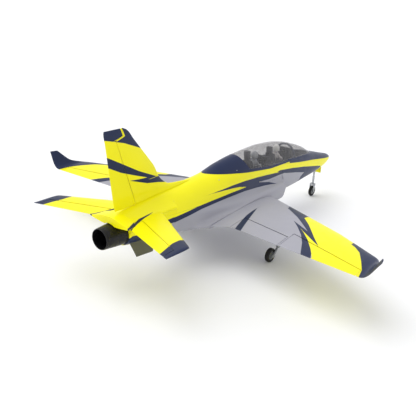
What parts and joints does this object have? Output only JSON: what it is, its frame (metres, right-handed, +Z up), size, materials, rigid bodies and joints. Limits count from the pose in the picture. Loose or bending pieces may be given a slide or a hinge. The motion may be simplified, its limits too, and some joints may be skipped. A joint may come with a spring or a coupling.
{
  "type": "radio-controlled jet plane",
  "caption": "Radio-controlled sport jet with ducted fan, swept wing with winglets, tandem cockpit under a clear canopy, working control surfaces and retractable landing gear.",
  "frame": {"origin": "on the ground under the centre of the outline", "axes": "+X to the nose, +Y to the left wing tip, +Z up"},
  "size_m": [1.12, 1.0966, 0.401],
  "materials": {
    "yellow_foam": "satin",
    "grey_foam": "satin",
    "navy_foam": "satin",
    "clear_plastic": "gloss",
    "cockpit_grey": "matte",
    "figure_white": "satin",
    "black_plastic": "satin",
    "motor_metal": "satin",
    "battery_wrap": "satin",
    "plywood": "matte",
    "equipment_black": "matte",
    "carbon": "gloss",
    "steel": "satin",
    "hub_grey": "satin",
    "tyre_rubber": "matte"
  },
  "bodies": {
    "airframe": {"fuselage_left": "yellow_foam", "fuselage_right": "yellow_foam", "fin": "yellow_foam", "left_stabilizer": "yellow_foam", "right_stabilizer": "yellow_foam", "left_wing": "grey_foam", "right_wing": "grey_foam", "left_ventral_fin": "grey_foam", "right_ventral_fin": "grey_foam", "fan_housing": "black_plastic", "exhaust_duct": "black_plastic", "exhaust_nozzle": "black_plastic", "fan_motor": "motor_metal", "battery": "battery_wrap", "battery_tray": "plywood", "speed_controller": "equipment_black", "receiver": "equipment_black", "left_flap_servo": "equipment_black", "right_flap_servo": "equipment_black", "left_aileron_servo": "equipment_black", "right_aileron_servo": "equipment_black", "rudder_servo": "equipment_black", "elevator_servo": "equipment_black", "steering_servo": "equipment_black", "nose_retract": "equipment_black", "left_retract": "equipment_black", "right_retract": "equipment_black", "wing_spar": "carbon"},
    "hatch": {"hatch_frame": "navy_foam", "canopy_glass": "clear_plastic", "cockpit_tub": "cockpit_grey", "front_seat": "cockpit_grey", "rear_seat": "cockpit_grey", "front_pilot": "figure_white", "rear_pilot": "figure_white"},
    "rudder": {"rudder": "yellow_foam"},
    "fan_rotor": {"fan_rotor": "black_plastic"},
    "nose_leg": {"nose_leg": "steel"},
    "nose_fork": {"nose_fork": "steel"},
    "nose_wheel": {"nose_hub": "hub_grey", "nose_tyre": "tyre_rubber"},
    "nose_gear_door": {"nose_gear_door": "yellow_foam"},
    "left_aileron": {"left_aileron": "yellow_foam"},
    "left_flap": {"left_flap": "grey_foam"},
    "left_elevator": {"left_elevator": "yellow_foam"},
    "left_aileron_pushrod": {"left_aileron_pushrod": "steel"},
    "left_flap_pushrod": {"left_flap_pushrod": "steel"},
    "left_leg": {"left_leg": "steel", "left_gear_door": "grey_foam"},
    "left_wheel": {"left_main_hub": "hub_grey", "left_main_tyre": "tyre_rubber"},
    "right_aileron": {"right_aileron": "yellow_foam"},
    "right_flap": {"right_flap": "grey_foam"},
    "right_elevator": {"right_elevator": "yellow_foam"},
    "right_aileron_pushrod": {"right_aileron_pushrod": "steel"},
    "right_flap_pushrod": {"right_flap_pushrod": "steel"},
    "right_leg": {"right_leg": "steel", "right_gear_door": "grey_foam"},
    "right_wheel": {"right_main_hub": "hub_grey", "right_main_tyre": "tyre_rubber"}
  },
  "joints": [
    {"name": "left_aileron_hinge", "type": "hinge", "parent": "airframe", "child": "left_aileron", "pos_m": [-0.158, 0.281, 0.12766], "axis": [0.3444, -0.9373, -0.0538], "range_deg": [-20, 20]},
    {"name": "left_flap_hinge", "type": "hinge", "parent": "airframe", "child": "left_flap", "pos_m": [-0.14, 0.12, 0.11802], "axis": [0.2465, -0.9675, -0.0565], "range_deg": [0, 35]},
    {"name": "left_elevator_hinge", "type": "hinge", "parent": "airframe", "child": "left_elevator", "pos_m": [-0.462, 0.052, 0.188], "axis": [0.3756, -0.9268, 0], "range_deg": [-20, 20]},
    {"name": "left_flap_pushrod_slide", "type": "slide", "parent": "airframe", "child": "left_flap_pushrod", "axis": [0.9691, 0.2468, 0], "range_m": [0, 0.0095]},
    {"name": "left_aileron_pushrod_slide", "type": "slide", "parent": "airframe", "child": "left_aileron_pushrod", "axis": [0.9386, 0.3449, 0], "range_m": [-0.0055, 0.0055]},
    {"name": "left_gear_fold", "type": "hinge", "parent": "airframe", "child": "left_leg", "pos_m": [-0.072, 0.192, 0.1145], "axis": [-1, 0, 0], "range_deg": [0, 86.5]},
    {"name": "left_wheel_spin", "type": "hinge", "parent": "left_leg", "child": "left_wheel", "pos_m": [-0.094, 0.182, 0.02], "axis": [0, 1, 0], "continuous": true},
    {"name": "right_aileron_hinge", "type": "hinge", "parent": "airframe", "child": "right_aileron", "pos_m": [-0.158, -0.281, 0.12766], "axis": [-0.3444, -0.9373, 0.0538], "range_deg": [-20, 20]},
    {"name": "right_flap_hinge", "type": "hinge", "parent": "airframe", "child": "right_flap", "pos_m": [-0.14, -0.12, 0.11802], "axis": [-0.2465, -0.9675, 0.0565], "range_deg": [0, 35]},
    {"name": "right_elevator_hinge", "type": "hinge", "parent": "airframe", "child": "right_elevator", "pos_m": [-0.462, -0.052, 0.188], "axis": [-0.3756, -0.9268, 0], "range_deg": [-20, 20]},
    {"name": "right_flap_pushrod_slide", "type": "slide", "parent": "airframe", "child": "right_flap_pushrod", "axis": [0.9691, -0.2468, 0], "range_m": [0, 0.0095]},
    {"name": "right_aileron_pushrod_slide", "type": "slide", "parent": "airframe", "child": "right_aileron_pushrod", "axis": [0.9386, -0.3449, 0], "range_m": [-0.0055, 0.0055]},
    {"name": "right_gear_fold", "type": "hinge", "parent": "airframe", "child": "right_leg", "pos_m": [-0.072, -0.192, 0.1145], "axis": [1, 0, 0], "range_deg": [0, 86.5]},
    {"name": "right_wheel_spin", "type": "hinge", "parent": "right_leg", "child": "right_wheel", "pos_m": [-0.094, -0.182, 0.02], "axis": [0, 1, 0], "continuous": true},
    {"name": "nose_gear_fold", "type": "hinge", "parent": "airframe", "child": "nose_leg", "pos_m": [0.47, 0, 0.124], "axis": [0, 1, 0], "range_deg": [0, 88]},
    {"name": "nose_steering", "type": "hinge", "parent": "nose_leg", "child": "nose_fork", "pos_m": [0.47, 0, 0.06], "axis": [0, 0, 1], "range_deg": [-20, 20]},
    {"name": "nose_wheel_spin", "type": "hinge", "parent": "nose_fork", "child": "nose_wheel", "pos_m": [0.468, 0, 0.019], "axis": [0, 1, 0], "continuous": true},
    {"name": "nose_door_hinge", "type": "hinge", "parent": "airframe", "child": "nose_gear_door", "pos_m": [0.4966, 0, 0.1125], "axis": [0, 1, 0], "range_deg": [0, 90]},
    {"name": "rudder_hinge", "type": "hinge", "parent": "airframe", "child": "rudder", "pos_m": [-0.436, 0, 0.214], "axis": [-0.3427, 0, 0.9394], "range_deg": [-25, 25]},
    {"name": "fan_spin", "type": "hinge", "parent": "airframe", "child": "fan_rotor", "pos_m": [-0.12, 0, 0.155], "axis": [1, 0, 0], "continuous": true},
    {"name": "hatch_lift", "type": "slide", "parent": "airframe", "child": "hatch", "axis": [0, 0, 1], "range_m": [0, 0.08]}
  ],
  "couplings": [
    {"joint": "right_aileron_hinge", "follows": "left_aileron_hinge", "ratio": -1},
    {"joint": "right_flap_hinge", "follows": "left_flap_hinge", "ratio": 1},
    {"joint": "right_elevator_hinge", "follows": "left_elevator_hinge", "ratio": 1},
    {"joint": "left_flap_pushrod_slide", "follows": "left_flap_hinge", "m_per_rad": 0.015},
    {"joint": "right_flap_pushrod_slide", "follows": "left_flap_hinge", "m_per_rad": 0.015},
    {"joint": "left_aileron_pushrod_slide", "follows": "left_aileron_hinge", "m_per_rad": 0.015},
    {"joint": "right_aileron_pushrod_slide", "follows": "left_aileron_hinge", "m_per_rad": -0.015},
    {"joint": "nose_steering", "follows": "rudder_hinge", "ratio": -0.8},
    {"joint": "right_gear_fold", "follows": "left_gear_fold", "ratio": 1},
    {"joint": "nose_gear_fold", "follows": "left_gear_fold", "ratio": 1.0173},
    {"joint": "nose_door_hinge", "follows": "left_gear_fold", "ratio": 1.0404}
  ]
}
